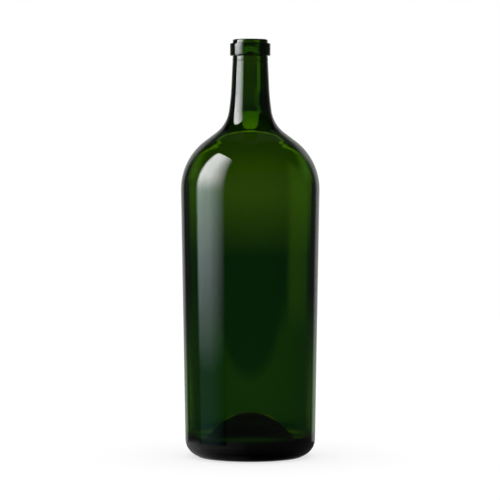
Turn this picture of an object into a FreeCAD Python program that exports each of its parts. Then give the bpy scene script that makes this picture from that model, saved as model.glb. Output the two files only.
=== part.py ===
import FreeCAD, Part
import math
import os
import Sketcher

# A claret (Bordeaux pattern) glass bottle of magnum size, empty and open, in one piece.
# The origin is the centre of the standing plane and +Z is up the neck.
# The sheet below holds the driving dimensions, in millimetres, with angles in degrees.
# A "corner" is where two straight runs of the glass outline would meet if it were left
# sharp. The neck is set out downwards from the lip and outwards from the bore, so that a
# taller bottle has a longer body and a wider bore has a wider neck.

NODE = "bottle"

SIZES = [
    ("overall_height", 312.7, "standing plane to the top of the lip"),
    # body, outside
    ("heel_diameter", 97.2, "body at the heel corner, on the standing plane"),
    ("heel_radius", 13.4, "rounding from the side to the standing ring"),
    ("shoulder_diameter", 104.6, "body at the shoulder corner"),
    ("shoulder_radius", 45.2, "rounding of the shoulder"),
    ("shoulder_pitch", 36.8, "shoulder slope above the level, degrees"),
    # neck, outside
    ("neck_wall", 3.25, "neck line beyond the bore, at the lip"),
    ("neck_length", 42.3, "lip to the corner where the neck starts to flare"),
    ("neck_taper", 2.72, "lean of the neck's side, degrees"),
    ("bend_radius", 150.0, "long hollow rounding where the flare starts"),
    ("flare_length", 21.1, "height of the flare, down to the shoulder slope"),
    ("flare_taper", 7.3, "lean of the flare's side, degrees"),
    ("root_radius", 24.8, "hollow rounding at the root of the neck"),
    # cork finish: a flat band with a narrower bead above it
    ("bore_diameter", 18.5, "mouth, which takes the cork"),
    ("lip_wall", 3.85, "bead beyond the bore"),
    ("bead_height", 3.0, "bead, from the band to the lip"),
    ("bead_edge_radius", 1.1, "outer edge of the lip"),
    ("mouth_edge_radius", 0.9, "inner edge of the lip"),
    ("band_proud", 2.05, "flat band beyond the bead"),
    ("band_height", 9.2, "flat band, from edge to edge"),
    ("band_edge_radius", 0.5, "edges of the flat band"),
    # inside
    ("bore_widening", 0.95, "bore at its foot beyond the mouth, on each side"),
    ("root_inside_radius", 27.8, "rounding from the bore to the inside of the shoulder"),
    ("side_wall", 3.0, "glass in the side and shoulder"),
    ("heel_inside_height", 11.2, "inside heel corner"),
    ("heel_inside_radius", 5.0, "inside rounding at the heel"),
    # raised floor, seen from inside as a bell
    ("trough_width", 13.9, "side wall to the foot corner of the bell"),
    ("bell_foot_height", 15.4, "foot corner of the bell"),
    ("bell_foot_radius", 15.0, "hollow rounding at the foot of the bell"),
    ("bell_diameter", 29.0, "corner between the crown and the flank of the bell"),
    ("bell_height", 33.4, "top of the bell"),
    # push-up, the hollow under the bottle
    ("bearing_width", 2.3, "flat standing ring, up to the start of the heel rounding"),
    ("waist_inset", 8.1, "mouth of the hollow to the corner in its flank"),
    ("waist_height", 8.4, "corner in the flank of the hollow"),
    ("waist_radius", 12.0, "rounding of that corner"),
    ("crown_diameter", 25.8, "corner between the flank and crown of the hollow"),
    ("crown_radius", 5.0, "rounding of that corner"),
    ("crown_glass", 8.2, "glass between the hollow and the top of the bell"),
]

# Places that more than one section uses, as expressions over the sheet.
LIP = "Sizes.overall_height"
BAND_TOP = f"{LIP} - Sizes.bead_height"
BAND_FOOT = f"{BAND_TOP} - Sizes.band_height"
BORE = "Sizes.bore_diameter / 2"
BORE_FOOT = f"({BORE} + Sizes.bore_widening)"
BEAD = f"{BORE} + Sizes.lip_wall"
BAND = f"{BEAD} + Sizes.band_proud"

# Neck line, flare and shoulder slope, from the lip down to the shoulder corner.
NECK_TOP = f"{BORE} + Sizes.neck_wall"
BEND_HEIGHT = f"{LIP} - Sizes.neck_length"
BEND = f"{NECK_TOP} + Sizes.neck_length * tan(Sizes.neck_taper * 1 deg)"
ROOT_HEIGHT = f"{BEND_HEIGHT} - Sizes.flare_length"
ROOT = f"({BEND} + Sizes.flare_length * tan(Sizes.flare_taper * 1 deg))"
PITCH = "(Sizes.shoulder_pitch * 1 deg)"
SHOULDER = "(Sizes.shoulder_diameter / 2)"
SHOULDER_HEIGHT = f"({ROOT_HEIGHT} - ({SHOULDER} - {ROOT}) * tan({PITCH}))"

# The inside of the shoulder keeps the side wall's thickness all the way up the slope.
SHOULDER_INSIDE = f"({SHOULDER} - Sizes.side_wall)"
SHOULDER_INSIDE_HEIGHT = (
    f"({SHOULDER_HEIGHT} - Sizes.side_wall * tan((90 deg - {PITCH}) / 2))"
)
ROOT_INSIDE_HEIGHT = (
    f"{SHOULDER_INSIDE_HEIGHT} + ({SHOULDER_INSIDE} - {BORE_FOOT}) * tan({PITCH})"
)

# The crown of the bell is one arc from flank to flank, bar a small flat at the axis.
HEEL_INSIDE = "Sizes.heel_diameter / 2 - Sizes.side_wall"
BELL = "Sizes.bell_diameter / 2"
BELL_FOOT = f"{HEEL_INSIDE} - Sizes.trough_width"
FLANK_RISE = "(Sizes.bell_height - Sizes.bell_foot_height)"
FLANK_ANGLE = f"atan({FLANK_RISE} / ({BELL_FOOT} - {BELL}))"
BELL_CROWN_RADIUS = f"0.94 * {BELL} / tan({FLANK_ANGLE} / 2)"

# The hollow underneath starts inside the standing ring and stops short of the bell.
PUNT_MOUTH = "Sizes.heel_diameter / 2 - Sizes.heel_radius - Sizes.bearing_width"
WAIST = f"{PUNT_MOUTH} - Sizes.waist_inset"
PUNT_TOP = "Sizes.bell_height - Sizes.crown_glass"


def number(owner, expression):
    """The value of an expression over the sheet, as a plain number."""
    found = owner.evalExpression(expression)
    return float(getattr(found, "Value", found))


def origin_plane(body, role):
    """One of the body's own base planes."""
    return next(item for item in body.Origin.OriginFeatures if item.Role == role)


def corner_rounding(before, corner, after, radius):
    """Centre and the two tangent points of an arc that rounds a corner."""
    back = (before - corner).normalize()
    ahead = (after - corner).normalize()
    half_angle = back.getAngle(ahead) / 2
    reach = radius / math.tan(half_angle)
    bisector = (back + ahead).normalize()
    centre = corner + bisector * (radius / math.sin(half_angle))
    return centre, corner + back * reach, corner + ahead * reach


def place_point(sketch, name, geometry, end, across, up):
    """Hold a point at a distance from the axis and a height, both taken from the sheet."""
    if across == "0" and up == "0":
        sketch.addConstraint(Sketcher.Constraint("Coincident", geometry, end, -1, 1))
        return
    for kind, axis, direction, expression in (
        ("DistanceX", -2, "across", across),
        ("DistanceY", -1, "up", up),
    ):
        if expression == "0":
            sketch.addConstraint(Sketcher.Constraint("PointOnObject", geometry, end, axis))
            continue
        size = number(sketch, expression)
        index = sketch.addConstraint(
            Sketcher.Constraint(kind, -1, 1, geometry, end, size)
        )
        sketch.renameConstraint(index, f"{name}_{direction}")
        sketch.setExpression(f"Constraints.{name}_{direction}", expression)


def half_section(body, label, corners):
    """A closed half section beside the axis: straight runs, rounded where a radius is named.

    Each corner is (name, distance from the axis, height, radius), the last three as
    expressions over the sheet, and a radius of None leaves the corner sharp.
    """
    sketch = body.newObject("Sketcher::SketchObject", label)
    sketch.AttachmentSupport = (origin_plane(body, "XZ_Plane"), "")
    sketch.MapMode = "FlatFace"
    count = len(corners)
    places = [
        FreeCAD.Vector(number(sketch, across), number(sketch, up), 0)
        for _, across, up, _ in corners
    ]

    # where each run starts and ends, once its corners are rounded
    run_start = list(places)
    run_end = places[1:] + places[:1]
    centres = {}
    for here, (_, _, _, radius) in enumerate(corners):
        if radius is None:
            continue
        before = (here - 1) % count
        after = (here + 1) % count
        centre, arrival, departure = corner_rounding(
            places[before], places[here], places[after], number(sketch, radius)
        )
        centres[here] = centre
        run_end[before] = arrival
        run_start[here] = departure

    for here, (name, _, _, _) in enumerate(corners):
        along = places[(here + 1) % count] - places[here]
        if (run_end[here] - run_start[here]).dot(along) <= 0:
            raise RuntimeError(f"{label}: the roundings meet after corner {name}")

    runs = [
        sketch.addGeometry(Part.LineSegment(run_start[here], run_end[here]), False)
        for here in range(count)
    ]

    for here, (name, across, up, radius) in enumerate(corners):
        before = (here - 1) % count
        if radius is None:
            sketch.addConstraint(
                Sketcher.Constraint("Coincident", runs[before], 2, runs[here], 1)
            )
            place_point(sketch, name, runs[here], 1, across, up)
            continue
        arm_in = run_end[before] - centres[here]
        arm_out = run_start[here] - centres[here]
        angle_in = math.atan2(arm_in.y, arm_in.x)
        angle_out = math.atan2(arm_out.y, arm_out.x)
        turns_left = arm_in.cross(arm_out).z > 0
        first, last = (angle_in, angle_out) if turns_left else (angle_out, angle_in)
        circle = Part.Circle(centres[here], FreeCAD.Vector(0, 0, 1), arm_in.Length)
        arc = sketch.addGeometry(Part.ArcOfCircle(circle, first, last), False)
        end_in, end_out = (1, 2) if turns_left else (2, 1)
        sketch.addConstraint(Sketcher.Constraint("Tangent", runs[before], 2, arc, end_in))
        sketch.addConstraint(Sketcher.Constraint("Tangent", arc, end_out, runs[here], 1))
        corner = sketch.addGeometry(Part.Point(places[here]), True)
        place_point(sketch, name, corner, 1, across, up)
        sketch.addConstraint(Sketcher.Constraint("PointOnObject", corner, 1, runs[before]))
        sketch.addConstraint(Sketcher.Constraint("PointOnObject", corner, 1, runs[here]))
        index = sketch.addConstraint(Sketcher.Constraint("Radius", arc, arm_in.Length))
        sketch.renameConstraint(index, f"{name}_radius")
        sketch.setExpression(f"Constraints.{name}_radius", radius)
    return sketch


def turned(body, kind, label, sketch):
    """A full turn of a half section about the bottle's axis, adding or cutting glass."""
    feature = body.newObject(f"PartDesign::{kind}", label)
    feature.Profile = sketch
    feature.ReferenceAxis = (sketch, ["V_Axis"])
    feature.Angle = 360
    body.Tip = feature
    return feature


def ring_edges(shape, across, up):
    """Names of the circular edges of a given radius and height."""
    names = []
    for index, edge in enumerate(shape.Edges, start=1):
        if not isinstance(edge.Curve, Part.Circle):
            continue
        same_radius = abs(edge.Curve.Radius - across) < 0.01
        if same_radius and abs(edge.Curve.Center.z - up) < 0.01:
            names.append(f"Edge{index}")
    return names


def rounded(document, body, label, edges, radius):
    """Round the circular edges given as pairs of expressions (radius, height)."""
    base = body.Tip
    names = []
    for across, up in edges:
        names += ring_edges(base.Shape, number(base, across), number(base, up))
    if len(names) != len(edges):
        raise RuntimeError(f"{label}: found {len(names)} of {len(edges)} edges")
    feature = body.newObject("PartDesign::Fillet", label)
    feature.Base = (base, names)
    feature.setExpression("Radius", radius)
    body.Tip = feature
    document.recompute()
    return feature


document = FreeCAD.newDocument("ClaretBottle")
sheet = document.addObject("Spreadsheet::Sheet", "Sizes")
for row, (name, value, meaning) in enumerate(SIZES, start=1):
    sheet.set(f"A{row}", meaning)
    sheet.set(f"B{row}", str(value))
    sheet.setAlias(f"B{row}", name)
document.recompute()

bottle = document.addObject("PartDesign::Body", "Bottle")
bottle.Label = NODE

# Outside of the blown glass: standing plane, heel, tapered body, shoulder and neck.
outside = half_section(bottle, "OutsideSection", [
    ("foot", "0", "0", None),
    ("heel", "Sizes.heel_diameter / 2", "0", "Sizes.heel_radius"),
    ("shoulder", SHOULDER, SHOULDER_HEIGHT, "Sizes.shoulder_radius"),
    ("root", ROOT, ROOT_HEIGHT, "Sizes.root_radius"),
    ("bend", BEND, BEND_HEIGHT, "Sizes.bend_radius"),
    ("neck_top", NECK_TOP, LIP, None),
    ("top", "0", LIP, None),
])
document.recompute()
turned(bottle, "Revolution", "BlownForm", outside)
document.recompute()

# Cork finish: the flat band and the bead that carries the lip.
finish = half_section(bottle, "FinishSection", [
    ("band_axis", "0", BAND_FOOT, None),
    ("band_foot", BAND, BAND_FOOT, "Sizes.band_edge_radius"),
    ("band_top", BAND, BAND_TOP, "Sizes.band_edge_radius"),
    ("bead_foot", BEAD, BAND_TOP, None),
    ("lip", BEAD, LIP, "Sizes.bead_edge_radius"),
    ("lip_axis", "0", LIP, None),
])
document.recompute()
turned(bottle, "Revolution", "CorkFinish", finish)
document.recompute()

# Inside: the bell of the raised floor, the trough round it, the side, shoulder and bore.
solid_volume = bottle.Shape.Volume
cavity = half_section(bottle, "CavitySection", [
    ("bell_axis", "0", "Sizes.bell_height", None),
    ("bell", BELL, "Sizes.bell_height", BELL_CROWN_RADIUS),
    ("bell_foot", BELL_FOOT, "Sizes.bell_foot_height", "Sizes.bell_foot_radius"),
    ("heel_inside", HEEL_INSIDE, "Sizes.heel_inside_height", "Sizes.heel_inside_radius"),
    ("shoulder_inside", SHOULDER_INSIDE, SHOULDER_INSIDE_HEIGHT,
     "Sizes.shoulder_radius - Sizes.side_wall"),
    ("root_inside", BORE_FOOT, ROOT_INSIDE_HEIGHT, "Sizes.root_inside_radius"),
    ("mouth", BORE, LIP, None),
    ("mouth_axis", "0", LIP, None),
])
document.recompute()
turned(bottle, "Groove", "Cavity", cavity)
document.recompute()
hollow_volume = bottle.Shape.Volume
if hollow_volume >= solid_volume:
    raise RuntimeError("the cavity cut nothing")

# Underneath: the push-up, which leaves a narrow flat ring to stand on.
punt = half_section(bottle, "PuntSection", [
    ("punt_axis", "0", "0", None),
    ("punt_mouth", PUNT_MOUTH, "0", None),
    ("waist", WAIST, "Sizes.waist_height", "Sizes.waist_radius"),
    ("crown", "Sizes.crown_diameter / 2", PUNT_TOP, "Sizes.crown_radius"),
    ("crown_axis", "0", PUNT_TOP, None),
])
document.recompute()
turned(bottle, "Groove", "PushUp", punt)
document.recompute()
if bottle.Shape.Volume >= hollow_volume:
    raise RuntimeError("the push-up cut nothing")

# The inner edge of the lip.
rounded(document, bottle, "MouthEdge", [(BORE, LIP)], "Sizes.mouth_edge_radius")

document.recompute()
for item in document.Objects:
    if "Invalid" in item.State or "Error" in item.State:
        raise RuntimeError(f"{item.Name} failed: {item.State}")
for item in document.Objects:
    if item.isDerivedFrom("Sketcher::SketchObject") and not item.FullyConstrained:
        raise RuntimeError(f"{item.Name} is not fully constrained")
shape = bottle.Shape
if shape.isNull() or not shape.isValid() or len(shape.Solids) != 1:
    raise RuntimeError("the bottle is not one valid solid")

glass_volume = shape.Volume / 1000
brimful = (solid_volume - hollow_volume) / 1000
print(f"glass {glass_volume:.1f} ml, brimful capacity {brimful:.0f} ml")

os.makedirs("parts", exist_ok=True)
shape.exportStep(f"parts/{NODE}.step")
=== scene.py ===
import bpy
import math
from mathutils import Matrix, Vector


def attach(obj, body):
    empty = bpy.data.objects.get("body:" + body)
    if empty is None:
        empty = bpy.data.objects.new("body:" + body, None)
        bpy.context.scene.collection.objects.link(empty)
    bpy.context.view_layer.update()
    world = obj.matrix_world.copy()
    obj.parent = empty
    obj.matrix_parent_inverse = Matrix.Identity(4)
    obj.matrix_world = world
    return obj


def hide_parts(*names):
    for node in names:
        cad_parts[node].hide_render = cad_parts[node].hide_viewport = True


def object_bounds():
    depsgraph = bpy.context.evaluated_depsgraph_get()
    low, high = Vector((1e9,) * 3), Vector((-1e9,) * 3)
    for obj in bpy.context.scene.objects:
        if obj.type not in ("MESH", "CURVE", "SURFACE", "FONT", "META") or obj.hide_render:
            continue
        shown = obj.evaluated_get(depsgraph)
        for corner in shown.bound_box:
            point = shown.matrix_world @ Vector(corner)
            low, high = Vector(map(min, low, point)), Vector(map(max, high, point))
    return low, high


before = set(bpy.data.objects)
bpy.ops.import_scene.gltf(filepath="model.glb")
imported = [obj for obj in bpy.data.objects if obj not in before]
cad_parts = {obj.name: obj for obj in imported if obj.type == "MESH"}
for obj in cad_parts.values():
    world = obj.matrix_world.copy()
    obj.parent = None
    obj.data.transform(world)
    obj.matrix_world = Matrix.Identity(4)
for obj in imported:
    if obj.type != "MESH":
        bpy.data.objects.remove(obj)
cad_low, cad_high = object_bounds()

# A magnum claret bottle, empty and open: one thick piece of dark green glass. The visual
# piece stands for the CAD node, with the same corners and roundings, and adds the marks of
# the mould: two upright seams, a line round the heel, a parting line and a groove under the
# cork band, and small studs on the standing ring and in the push-up. Blender sizes are in
# metres, and the outline is set out in millimetres.

NODE = "bottle"
BODY = "root"
MM = 0.001

HEIGHT = cad_high.z - cad_low.z

# mould marks in mm: their heights, and the least radius that still counts as outside
HEEL_LINE = 7.6
PARTING_LINE = HEIGHT / MM - 15.0
PARTING_GROOVE = HEIGHT / MM - 16.9
HEEL_LEAST = 40.0
NECK_LEAST = 11.0


# ---------------------------------------------------------------- outline of the glass

def slope(degrees):
    return math.tan(math.radians(degrees))


def glass_corners():
    """The sharp corners (radius, height, rounding) of the glass outside and inside, and of
    the push-up under it, in mm."""
    top = HEIGHT / MM
    bore = 9.25
    bore_foot = bore + 0.95
    wall = 3.0

    # cork finish: a bead over a wider flat band
    lip = bore + 3.85
    band = lip + 2.05
    band_top = top - 3.0
    band_foot = band_top - 9.2

    # neck, flare, shoulder slope and body, from the lip down
    neck_top = bore + 3.25
    neck_lean = slope(2.72)
    bend_z = top - 42.3
    bend = neck_top + (top - bend_z) * neck_lean
    root_z = bend_z - 21.1
    root = bend + (bend_z - root_z) * slope(7.3)
    shoulder = 52.3
    shoulder_rounding = 45.2
    shoulder_z = root_z - (shoulder - root) * slope(36.8)
    heel = 48.6
    heel_rounding = 13.4
    outside = [
        (heel, 0.0, heel_rounding),
        (shoulder, shoulder_z, shoulder_rounding),
        (root, root_z, 24.8),
        (bend, bend_z, 150.0),
        (neck_top + (top - band_foot) * neck_lean, band_foot, 0.4),
        (band, band_foot, 0.5),
        (band, band_top, 0.5),
        (lip, band_top, 0.35),
        (lip, top, 1.1),
        (bore, top, 0.9),
    ]

    # the crown of the bell is one arc from flank to flank, bar a small flat at the axis
    body_lean = math.atan((shoulder - heel) / shoulder_z)
    inside_heel = heel - wall
    bell, bell_top = 14.5, 33.4
    bell_foot, bell_foot_z = inside_heel - 13.9, 15.4
    flank = math.atan2(bell_top - bell_foot_z, bell_foot - bell)
    inside = [
        (bore_foot, 250.8, 27.8),
        (shoulder - wall / math.cos(body_lean), 221.55, shoulder_rounding - wall),
        (inside_heel, 11.2, 5.0),
        (bell_foot, bell_foot_z, 15.0),
        (bell, bell_top, 0.94 * bell / math.tan(flank / 2)),
        (0.0, bell_top, 0.0),
    ]

    # the push-up starts inside the standing ring and stops short of the bell
    hollow_top = bell_top - 8.2
    hollow_mouth = heel - heel_rounding - 2.3
    push_up = [
        (0.0, hollow_top, 0.0),
        (12.9, hollow_top, 5.0),
        (hollow_mouth - 8.1, 8.4, 12.0),
        (hollow_mouth, 0.0, 0.9),
    ]
    return outside + inside, push_up


def rounded_run(corners, step):
    """Points along a run of corners, each rounded by a tangent arc of its own radius."""
    points = [Vector(corners[0][:2])]
    for before, here, after in zip(corners, corners[1:], corners[2:]):
        at = Vector(here[:2])
        back = (Vector(before[:2]) - at).normalized()
        ahead = (Vector(after[:2]) - at).normalized()
        between = back.angle(ahead)
        if here[2] <= 0.0 or between > math.pi - 0.001:
            points.append(at)
            continue
        radius = here[2]
        centre = at + (back + ahead).normalized() * (radius / math.sin(between / 2))
        reach = radius / math.tan(between / 2)
        start = at + back * reach - centre
        end = at + ahead * reach - centre
        turn = start.angle_signed(end)
        pieces = max(3, math.ceil(abs(turn) / step(radius)))
        for k in range(pieces + 1):
            a = -turn * k / pieces
            cos_a, sin_a = math.cos(a), math.sin(a)
            points.append(centre + Vector((start.x * cos_a - start.y * sin_a,
                                           start.x * sin_a + start.y * cos_a)))
    points.append(Vector(corners[-1][:2]))
    return points


def evened(points, longest):
    """The same run with its long straight parts cut so that no step is over `longest`."""
    out = [points[0]]
    for a, b in zip(points, points[1:]):
        gap = (b - a).length
        if gap < 1e-6:
            continue
        parts = max(1, math.ceil(gap / longest))
        for k in range(1, parts + 1):
            out.append(a.lerp(b, k / parts))
    return out


def arc_step(radius):
    return max(math.radians(2.0), min(math.radians(14.0), 1.6 / radius))


def ridged(points, height, reach, proud, least_radius):
    """The run with a low rounded ridge on it at a height, where the run is outermost."""
    out = [points[0]]
    for a, b in zip(points, points[1:]):
        touches = min(a.y, b.y) < height + reach and max(a.y, b.y) > height - reach
        if not touches or min(a.x, b.x) < least_radius:
            out.append(b)
            continue
        along = (b - a).normalized()
        outward = Vector((along.y, -along.x))
        parts = max(1, math.ceil((b - a).length / (reach / 4)))
        for k in range(1, parts + 1):
            at = a.lerp(b, k / parts)
            off = min(1.0, abs(at.y - height) / reach)
            lift = proud * (0.5 + 0.5 * math.cos(math.pi * off))
            out.append(at + outward * lift)
    return out


def bottle_outline():
    """The closed half outline, from the push-up out over the lip and down to the bell."""
    upper, push_up = glass_corners()
    run = evened(rounded_run(push_up + upper, arc_step), 4.0)
    run = ridged(run, HEEL_LINE, 0.7, 0.14, HEEL_LEAST)
    run = ridged(run, PARTING_LINE, 0.8, 0.16, NECK_LEAST)
    return ridged(run, PARTING_GROOVE, 0.6, -0.12, NECK_LEAST)


# ---------------------------------------------------------------- the glass mesh

# angles off each upright seam, in radians, and how far in the glass lies there, in mm:
# the seam is a fine ridge between two shallow dips, so it adds nothing to the width
SEAM_STEPS = (0.0025, 0.005, 0.008, 0.012)
SEAM_DIPS = {0.0025: 0.05, 0.005: 0.17, 0.008: 0.19, 0.012: 0.11}


def seam_angles(count):
    """Angles round the bottle, evenly spaced, with extra ones close to the two seams."""
    angles = [2 * math.pi * k / count for k in range(count)]
    for centre in (0.0, math.pi):
        for offset in SEAM_STEPS:
            angles.append((centre + offset) % (2 * math.pi))
            angles.append((centre - offset) % (2 * math.pi))
    angles.sort()
    return angles


def seam_dip(angle):
    off = min(angle % math.pi, math.pi - angle % math.pi)
    for step, dip in SEAM_DIPS.items():
        if abs(off - step) < 0.0003:
            return dip
    return 0.0


def outside_limit(height):
    """A radius between the inside and the outside of the wall at a height, in mm."""
    corners, _ = glass_corners()
    outer = [(z, r) for r, z, _ in corners[:5]]
    for (z0, r0), (z1, r1) in zip(outer, outer[1:]):
        if z0 <= height <= z1:
            return (r0 + (r1 - r0) * (height - z0) / (z1 - z0)) * 0.84
    return 0.0


def glass_mesh():
    outline = bottle_outline()
    angles = seam_angles(280)
    vertices = []
    faces = []
    rings = []
    dips = [seam_dip(a) for a in angles]
    for p in outline:
        r, z = p.x * MM, p.y * MM
        if r < 1e-7:
            rings.append([len(vertices)])
            vertices.append((0.0, 0.0, z))
            continue
        seamed = HEEL_LINE < p.y < PARTING_LINE and p.x > outside_limit(p.y)
        ring = []
        for a, dip in zip(angles, dips):
            ring.append(len(vertices))
            at = r - dip * MM if seamed else r
            vertices.append((at * math.cos(a), at * math.sin(a), z))
        rings.append(ring)
    n = len(angles)
    for low, high in zip(rings, rings[1:]):
        for k in range(n):
            m = (k + 1) % n
            if len(low) == 1 and len(high) == 1:
                continue
            if len(low) == 1:
                faces.append((low[0], high[m], high[k]))
            elif len(high) == 1:
                faces.append((low[k], low[m], high[0]))
            else:
                faces.append((low[k], low[m], high[m], high[k]))
    mesh = bpy.data.meshes.new("glass_bottle")
    mesh.from_pydata(vertices, [], faces)
    mesh.update()
    for polygon in mesh.polygons:
        polygon.use_smooth = True
    return mesh


# ---------------------------------------------------------------- materials

FLOOR_SHADE = 0.38
FLOOR_LIFT = 0.66
SOFTBOX_POWER = 12.0


def math_node(tree, operation, first, second=None, third=None):
    made = tree.nodes.new("ShaderNodeMath")
    made.operation = operation
    for socket, value in zip(made.inputs, (first, second, third)):
        if value is None:
            continue
        if isinstance(value, (int, float)):
            socket.default_value = value
        else:
            tree.links.new(value, socket)
    return made.outputs[0]


def graded(tree, value, stops):
    """Shades along a value, with stops in the value's own unit: metres, degrees or shares."""
    first, last = stops[0][0], stops[-1][0]
    span = last - first
    made = tree.nodes.new("ShaderNodeValToRGB")
    elements = made.color_ramp.elements
    while len(elements) < len(stops):
        elements.new(0.5)
    for element, (place, shade) in zip(elements, stops):
        element.position = (place - first) / span
        element.color = (*shade, 1.0) if isinstance(shade, tuple) else (shade, shade, shade, 1.0)
    tree.links.new(math_node(tree, "MULTIPLY_ADD", value, 1.0 / span, -first / span),
                   made.inputs["Fac"])
    return made.outputs["Color"]


def glow(tree, colour=(1.0, 1.0, 1.0), strength=1.0):
    """A surface that gives its own light. Colour and strength are values or links."""
    made = tree.nodes.new("ShaderNodeEmission")
    if isinstance(colour, tuple):
        made.inputs["Color"].default_value = (*colour, 1.0)
    else:
        tree.links.new(colour, made.inputs["Color"])
    if isinstance(strength, float):
        made.inputs["Strength"].default_value = strength
    else:
        tree.links.new(strength, made.inputs["Strength"])
    return made.outputs[0]


def laid_over(tree, share, under, over):
    """One surface over another, as far as the share says."""
    made = tree.nodes.new("ShaderNodeMixShader")
    tree.links.new(share, made.inputs["Fac"])
    tree.links.new(under, made.inputs[1])
    tree.links.new(over, made.inputs[2])
    return made.outputs[0]


def times(tree, first, second):
    return math_node(tree, "MULTIPLY", first, second)


def green_glass():
    material = bpy.data.materials.new("deep_green_glass")
    material.use_nodes = True
    tree = material.node_tree
    tree.nodes.clear()
    out = tree.nodes.new("ShaderNodeOutputMaterial")
    out.location = (600, 0)
    glass = tree.nodes.new("ShaderNodeBsdfPrincipled")
    glass.location = (250, 100)
    glass.inputs["Base Color"].default_value = (1.0, 1.0, 1.0, 1.0)
    glass.inputs["Roughness"].default_value = 0.02
    glass.inputs["IOR"].default_value = 1.52
    glass.inputs["Transmission Weight"].default_value = 1.0
    tree.links.new(glass.outputs["BSDF"], out.inputs["Surface"])
    tint = tree.nodes.new("ShaderNodeVolumeAbsorption")
    tint.location = (250, -350)
    tint.inputs["Color"].default_value = (0.54, 0.72, 0.0, 1.0)
    tint.inputs["Density"].default_value = 900.0
    tree.links.new(tint.outputs["Volume"], out.inputs["Volume"])
    # slow waves left by blowing
    where = tree.nodes.new("ShaderNodeTexCoord")
    waves = tree.nodes.new("ShaderNodeTexNoise")
    waves.inputs["Scale"].default_value = 22.0
    waves.inputs["Detail"].default_value = 2.0
    bump = tree.nodes.new("ShaderNodeBump")
    bump.inputs["Strength"].default_value = 0.15
    bump.inputs["Distance"].default_value = 0.0004
    tree.links.new(where.outputs["Object"], waves.inputs["Vector"])
    tree.links.new(waves.outputs["Fac"], bump.inputs["Height"])
    tree.links.new(bump.outputs["Normal"], glass.inputs["Normal"])
    return material


def plain_floor():
    """White to the camera, with the shadow of the bottle left in it."""
    material = bpy.data.materials.new("pale_floor")
    material.use_nodes = True
    tree = material.node_tree
    surface = tree.nodes["Principled BSDF"]
    surface.inputs["Base Color"].default_value = (FLOOR_SHADE, FLOOR_SHADE, FLOOR_SHADE, 1.0)
    surface.inputs["Roughness"].default_value = 0.9
    surface.inputs["Specular IOR Level"].default_value = 0.0
    surface.inputs["Emission Color"].default_value = (1.0, 1.0, 1.0, 1.0)
    path = tree.nodes.new("ShaderNodeLightPath")
    lift = math_node(tree, "MULTIPLY", path.outputs["Is Camera Ray"], FLOOR_LIFT)
    tree.links.new(lift, surface.inputs["Emission Strength"])
    return material


def softbox_cloth():
    """Bright at the top, fading and turning cooler downwards, soft at both sides."""
    material = bpy.data.materials.new("softbox_cloth")
    material.use_nodes = True
    tree = material.node_tree
    tree.nodes.clear()
    out = tree.nodes.new("ShaderNodeOutputMaterial")
    where = tree.nodes.new("ShaderNodeUVMap")
    split = tree.nodes.new("ShaderNodeSeparateXYZ")
    tree.links.new(where.outputs["UV"], split.inputs["Vector"])
    shade = graded(tree, split.outputs["Y"], [
        (0.1, (0.01, 0.02, 0.02)), (0.25, (0.3, 0.35, 0.35)), (0.45, (1.0, 1.0, 1.0))])
    across = graded(tree, split.outputs["X"], [(0.2, 0.0), (0.6, 1.0), (0.9, 1.0), (1.0, 0.0)])
    lit_cloth = glow(tree, shade, times(tree, across, SOFTBOX_POWER))
    # seen mirrored only: what comes through the glass passes it by
    path = tree.nodes.new("ShaderNodeLightPath")
    mirrored = math_node(tree, "SUBTRACT", 1.0, path.outputs["Is Transmission Ray"])
    shown = times(tree, mirrored, math_node(tree, "GREATER_THAN", across, 0.01))
    nothing = tree.nodes.new("ShaderNodeBsdfTransparent").outputs[0]
    tree.links.new(laid_over(tree, shown, nothing, lit_cloth), out.inputs["Surface"])
    return material


# ---------------------------------------------------------------- the object

bottle = bpy.data.objects.new("glass_bottle", glass_mesh())
bpy.context.scene.collection.objects.link(bottle)
bottle.data.materials.append(green_glass())
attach(bottle, BODY)
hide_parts(NODE)
for cad_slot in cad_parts[NODE].material_slots:
    cad_slot.material = bottle.data.materials[0]


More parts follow.
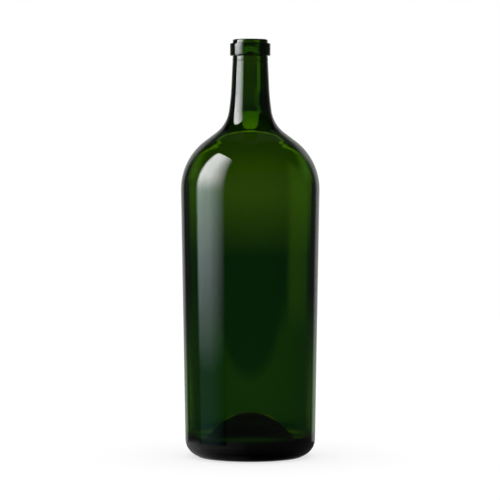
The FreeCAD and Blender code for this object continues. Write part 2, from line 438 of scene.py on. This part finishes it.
def stud_ring_tree():
    """Geometry nodes: low rounded studs set evenly round a circle, leaning with the glass."""
    tree = bpy.data.node_groups.new("stud_ring", "GeometryNodeTree")
    tree.interface.new_socket("Geometry", in_out="INPUT", socket_type="NodeSocketGeometry")
    for name, kind, value in (("Studs", "NodeSocketInt", 60),
                              ("Ring Radius", "NodeSocketFloat", 0.03),
                              ("Height", "NodeSocketFloat", 0.0),
                              ("Stud Length", "NodeSocketFloat", 0.001),
                              ("Stud Width", "NodeSocketFloat", 0.0006),
                              ("Unevenness", "NodeSocketFloat", 0.0003),
                              ("Seed", "NodeSocketInt", 1)):
        socket = tree.interface.new_socket(name, in_out="INPUT", socket_type=kind)
        socket.default_value = value
    glass = tree.interface.new_socket("Glass", in_out="INPUT", socket_type="NodeSocketMaterial")
    tree.interface.new_socket("Geometry", in_out="OUTPUT", socket_type="NodeSocketGeometry")
    given = tree.nodes.new("NodeGroupInput")
    result = tree.nodes.new("NodeGroupOutput")
    ring = tree.nodes.new("GeometryNodeMeshCircle")
    tree.links.new(given.outputs["Studs"], ring.inputs["Vertices"])
    tree.links.new(given.outputs["Ring Radius"], ring.inputs["Radius"])
    stud = tree.nodes.new("GeometryNodeMeshIcoSphere")
    stud.inputs["Radius"].default_value = 0.5
    stud.inputs["Subdivisions"].default_value = 2
    shape = tree.nodes.new("ShaderNodeCombineXYZ")
    tree.links.new(given.outputs["Stud Length"], shape.inputs["X"])
    tree.links.new(given.outputs["Stud Width"], shape.inputs["Y"])
    tree.links.new(given.outputs["Stud Width"], shape.inputs["Z"])
    place = tree.nodes.new("GeometryNodeInputPosition")
    facing = tree.nodes.new("FunctionNodeAlignRotationToVector")
    facing.axis = "X"
    tree.links.new(place.outputs["Position"], facing.inputs["Vector"])
    spread = tree.nodes.new("FunctionNodeRandomValue")
    spread.data_type = "FLOAT_VECTOR"
    spread.inputs["Min"].default_value = (-1.0, -1.0, 0.0)
    spread.inputs["Max"].default_value = (1.0, 1.0, 0.0)
    tree.links.new(given.outputs["Seed"], spread.inputs["Seed"])
    scatter = tree.nodes.new("ShaderNodeVectorMath")
    scatter.operation = "SCALE"
    tree.links.new(spread.outputs["Value"], scatter.inputs[0])
    tree.links.new(given.outputs["Unevenness"], scatter.inputs["Scale"])
    lift = tree.nodes.new("ShaderNodeCombineXYZ")
    tree.links.new(given.outputs["Height"], lift.inputs["Z"])
    shift = tree.nodes.new("ShaderNodeVectorMath")
    tree.links.new(scatter.outputs[0], shift.inputs[0])
    tree.links.new(lift.outputs[0], shift.inputs[1])
    moved = tree.nodes.new("GeometryNodeSetPosition")
    tree.links.new(ring.outputs["Mesh"], moved.inputs["Geometry"])
    tree.links.new(shift.outputs[0], moved.inputs["Offset"])
    studded = tree.nodes.new("GeometryNodeInstanceOnPoints")
    tree.links.new(moved.outputs["Geometry"], studded.inputs["Points"])
    tree.links.new(stud.outputs["Mesh"], studded.inputs["Instance"])
    tree.links.new(facing.outputs["Rotation"], studded.inputs["Rotation"])
    tree.links.new(shape.outputs[0], studded.inputs["Scale"])
    whole = tree.nodes.new("GeometryNodeRealizeInstances")
    tree.links.new(studded.outputs["Instances"], whole.inputs["Geometry"])
    finish = tree.nodes.new("GeometryNodeSetMaterial")
    tree.links.new(whole.outputs["Geometry"], finish.inputs["Geometry"])
    tree.links.new(given.outputs["Glass"], finish.inputs["Material"])
    tree.links.new(finish.outputs["Geometry"], result.inputs["Geometry"])
    return tree


def stud_ring(name, tree, glass, **sizes):
    """One ring of studs as a plain mesh piece."""
    seedling = bpy.data.objects.new(name + "_maker", bpy.data.meshes.new(name + "_maker"))
    bpy.context.scene.collection.objects.link(seedling)
    maker = seedling.modifiers.new("studs", "NODES")
    maker.node_group = tree
    sizes["Glass"] = glass
    for item in tree.interface.items_tree:
        key = item.name.replace(" ", "_")
        if item.in_out == "INPUT" and (item.name in sizes or key in sizes):
            maker[item.identifier] = sizes[item.name] if item.name in sizes else sizes[key]
    bpy.context.view_layer.update()
    seen = seedling.evaluated_get(bpy.context.evaluated_depsgraph_get())
    mesh = bpy.data.meshes.new_from_object(seen)
    mesh.name = name
    seedling.modifiers.clear()
    bpy.data.objects.remove(seedling)
    for polygon in mesh.polygons:
        polygon.use_smooth = True
    made = bpy.data.objects.new(name, mesh)
    bpy.context.scene.collection.objects.link(made)
    if not made.data.materials:
        made.data.materials.append(glass)
    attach(made, BODY)
    return made


studs = stud_ring_tree()
glass_finish = bottle.data.materials[0]
stud_ring("standing_ring_studs", studs, glass_finish, Studs=110, Ring_Radius=0.0384,
          Height=0.00055, Stud_Length=0.0019, Stud_Width=0.0010, Unevenness=0.0001, Seed=3)
stud_ring("push_up_studs_top", studs, glass_finish, Studs=64, Ring_Radius=0.0127,
          Height=0.0243, Stud_Length=0.0010, Stud_Width=0.0009, Unevenness=0.0003, Seed=5)
stud_ring("push_up_studs_upper", studs, glass_finish, Studs=70, Ring_Radius=0.0139,
          Height=0.0232, Stud_Length=0.0010, Stud_Width=0.0009, Unevenness=0.0003, Seed=7)
stud_ring("push_up_studs_flank", studs, glass_finish, Studs=90, Ring_Radius=0.0216,
          Height=0.0130, Stud_Length=0.0011, Stud_Width=0.0010, Unevenness=0.0004, Seed=9)


# ---------------------------------------------------------------- the studio

def disc(name, radius, segments=96):
    mesh = bpy.data.meshes.new(name)
    points = [(radius * math.cos(2 * math.pi * k / segments),
               radius * math.sin(2 * math.pi * k / segments), 0.0) for k in range(segments)]
    mesh.from_pydata(points, [], [tuple(range(segments))])
    made = bpy.data.objects.new(name, mesh)
    bpy.context.scene.collection.objects.link(made)
    return made


def panel(name, azimuth, distance, low, high, left, right):
    """An upright sheet facing the bottle. Azimuth is counted from the camera towards the left."""
    a = math.radians(azimuth)
    outward = Vector((-math.sin(a), -math.cos(a), 0.0))
    across = Vector((-math.cos(a), math.sin(a), 0.0))
    base = outward * distance
    corners = [base + across * left + Vector((0, 0, low)),
               base + across * right + Vector((0, 0, low)),
               base + across * right + Vector((0, 0, high)),
               base + across * left + Vector((0, 0, high))]
    mesh = bpy.data.meshes.new(name)
    mesh.from_pydata([tuple(c) for c in corners], [], [(0, 1, 2, 3)])
    uv = mesh.uv_layers.new(name="across")
    for loop, value in enumerate(((0, 0), (1, 0), (1, 1), (0, 1))):
        uv.data[loop].uv = value
    made = bpy.data.objects.new(name, mesh)
    bpy.context.scene.collection.objects.link(made)
    return made


floor = disc("pale_floor", 1.6)
floor.data.materials.append(plain_floor())
floor.visible_glossy = False
floor.visible_transmission = False

softbox = panel("softbox", 70.0, 0.6, -0.12, 1.08, -0.50, 0.33)
softbox.data.materials.append(softbox_cloth())
softbox.visible_camera = False
softbox.visible_diffuse = False
softbox.visible_shadow = False


def drum(name, radius, low, high, segments=96):
    """A closed upright drum round the bottle, seen only from inside."""
    mesh = bpy.data.meshes.new(name)
    vertices = []
    faces = []
    for k in range(segments):
        a = 2 * math.pi * k / segments
        x, y = math.cos(a) * radius, math.sin(a) * radius
        vertices += [(x, y, low), (x, y, high)]
    for k in range(segments):
        m = (k + 1) % segments
        faces.append((2 * k, 2 * k + 1, 2 * m + 1, 2 * m))
    faces.append(tuple(2 * k for k in range(segments)))
    faces.append(tuple(2 * k + 1 for k in reversed(range(segments))))
    mesh.from_pydata(vertices, [], faces)
    made = bpy.data.objects.new(name, mesh)
    bpy.context.scene.collection.objects.link(made)
    return made


DRUM_RADIUS = 1.2
DRUM_LOW = -0.5
DRUM_HIGH = 2.4


def mirrored_room(tree, place, turn, level):
    """What the glass mirrors: a dark room, open and lighter at the back, over a table with
    painted light from the left, the bottle's painted shadow to the right and painted shade round
    its foot."""
    back = graded(tree, turn, [(-40, 0.05), (-30, 0.5), (35, 0.5), (45, 0.05)])
    overhead = graded(tree, level, [(0.7, 1.0), (1.0, 0.1)])
    # painted light and shadow: the table is brightest to the left behind, where the softbox
    # lights it, and dark to the right, in the bottle's painted shadow
    painted_table_light = graded(tree, turn, [(-180, 0.05), (-60, 0.4), (20, 0.05), (180, 0.05)])
    # painted shadow of the bottle on the table: darker towards its foot
    spread = math_node(tree, "SQRT", math_node(
        tree, "ADD", times(tree, place["X"], place["X"]), times(tree, place["Y"], place["Y"])))
    own_shade = graded(tree, spread, [(0.3, 0.2), (1.0, 1.0)])
    low_down = graded(tree, level, [(-0.2, 1.0), (-0.15, 0.0)])
    return laid_over(tree, low_down, glow(tree, back, overhead), glow(tree, painted_table_light, own_shade))


def lit_wall(tree, away, level):
    """The wall behind: dark green low down, light above, with lighter side strips that
    end in dark flags."""
    # the wall is dark green low down, inside a round edge
    low_dark_green = (0.0, 0.06, 0.03)
    wall = graded(tree, level, [(0.1, low_dark_green), (0.18, (0.25, 0.25, 0.15)),
                                (0.3, (0.18, 0.18, 0.12))])
    low_sides = times(tree, 2.0, graded(
        tree, away, [(5, 0.5), (10, 0.9), (13, 0.9), (15, 0.05)]))
    high_sides = times(tree, 4.0, graded(
        tree, away, [(7, 0.25), (10, 0.9), (16, 0.9), (18, 0.05)]))
    high = graded(tree, level, [(0.22, 0.0), (0.26, 1.0)])
    low = math_node(tree, "SUBTRACT", 1.0, high)
    return glow(tree, wall, math_node(tree, "ADD", times(tree, low_sides, low),
                                      times(tree, high_sides, high)))


def outside_dark_patch(tree, away, level):
    """How far a place is outside the round edge in which the dark green low down ends."""
    below = math_node(tree, "MAXIMUM", math_node(tree, "SUBTRACT", 0.05, level), 0.0)
    hem = times(tree, below, 10.0)
    width = times(tree, away, 0.3)
    return graded(tree, math_node(tree, "ADD", times(tree, hem, hem),
                                  times(tree, width, width)), [(0.8, 0.0), (1.2, 1.0)])


def light_through(tree, turn, level):
    """What comes through the glass: the wall, dark green low down, a paler pane, the table past
    the dark green, a light strip under a dark header, and painted shade under the foot."""
    away = math_node(tree, "ABSOLUTE", turn)
    seen = lit_wall(tree, away, level)

    pane = times(tree, graded(tree, turn, [(4, 0.0), (5, 1.0), (10, 1.0), (11, 0.0)]),
                 graded(tree, level, [(-0.04, 0.0), (0.0, 0.15), (0.25, 0.2), (0.28, 0.0)]))
    seen = laid_over(tree, pane, seen, glow(tree, (1.0, 0.92, 0.8)))

    far_table = times(tree, outside_dark_patch(tree, away, level), graded(
        tree, level, [(-0.12, 0.0), (-0.1, 1.0), (0.0, 1.0), (0.05, 0.0)]))
    seen = laid_over(tree, far_table, seen, glow(tree, (0.05, 0.12, 0.05)))

    open_low = times(tree, graded(tree, away, [(17, 0.0), (20, 1.0), (32, 1.0), (36, 0.0)]),
                     graded(tree, level, [(-0.06, 1.0), (0.0, 0.0)]))
    seen = laid_over(tree, open_low, seen, glow(tree, strength=1.1))

    # the strip is bowed up to both sides
    bowed = math_node(tree, "MULTIPLY_ADD", away, -0.003, level)
    strip = times(tree, graded(tree, bowed, [(0.345, 0.0), (0.35, 1.0)]),
                  graded(tree, away, [(18, 1.0), (20, 0.0)]))
    seen = laid_over(tree, strip, seen, glow(tree, (1.0, 0.85, 0.7), 1.2))
    header = graded(tree, bowed, [(0.38, 0.0), (0.385, 1.0)])
    seen = laid_over(tree, header, seen, glow(tree, strength=0.07))

    # painted shade under the foot: the table there glows only dimly, a little more on the drum's
    # floor
    painted_shade_under_foot = graded(tree, level, [(-0.25, 1.0), (-0.2, 0.0)])
    right_below = math_node(tree, "LESS_THAN", level, DRUM_LOW + 0.001)
    painted_shade_strength = math_node(tree, "MULTIPLY_ADD", right_below, 0.25, 0.1)
    return laid_over(tree, painted_shade_under_foot, seen, glow(tree, strength=painted_shade_strength))


def grey_studio():
    """The drum's inside, which shows one thing mirrored and another through the glass."""
    material = bpy.data.materials.new("grey_studio")
    material.use_nodes = True
    tree = material.node_tree
    tree.nodes.clear()
    out = tree.nodes.new("ShaderNodeOutputMaterial")
    where = tree.nodes.new("ShaderNodeTexCoord")
    split = tree.nodes.new("ShaderNodeSeparateXYZ")
    tree.links.new(where.outputs["Object"], split.inputs["Vector"])
    place, level = split.outputs, split.outputs["Z"]
    # degrees away from straight behind the bottle, to the right counted as more than 0
    turn = times(tree, math_node(tree, "ARCTAN2", place["X"], place["Y"]), 180.0 / math.pi)
    path = tree.nodes.new("ShaderNodeLightPath")
    tree.links.new(laid_over(tree, path.outputs["Is Transmission Ray"],
                             mirrored_room(tree, place, turn, level),
                             light_through(tree, turn, level)), out.inputs["Surface"])
    return material


studio = drum("grey_studio", DRUM_RADIUS, DRUM_LOW, DRUM_HIGH)
studio.data.materials.append(grey_studio())
studio.visible_camera = False
studio.visible_diffuse = False
studio.visible_shadow = False

world = bpy.data.worlds.new("white_studio")
world.use_nodes = True
bpy.context.scene.world = world
background = world.node_tree.nodes["Background"]
background.inputs["Color"].default_value = (1, 1, 1, 1)
background.inputs["Strength"].default_value = 1.0

# ---------------------------------------------------------------- camera

camera_data = bpy.data.cameras.new("camera")
camera = bpy.data.objects.new("camera", camera_data)
bpy.context.scene.collection.objects.link(camera)
camera_data.sensor_width = 36.0
camera_data.lens = 170.2
camera_data.clip_start = 0.05
camera_data.clip_end = 50.0
camera.location = (0.0, -1.773, 0.221)
camera.rotation_euler = (math.radians(90.0 - 2.13), 0.0, 0.0)
camera_data.shift_x = -0.0005
bpy.context.scene.camera = camera

bpy.context.scene.view_settings.view_transform = "Standard"
bpy.context.scene.cycles.use_adaptive_sampling = False

bpy.context.view_layer.update()
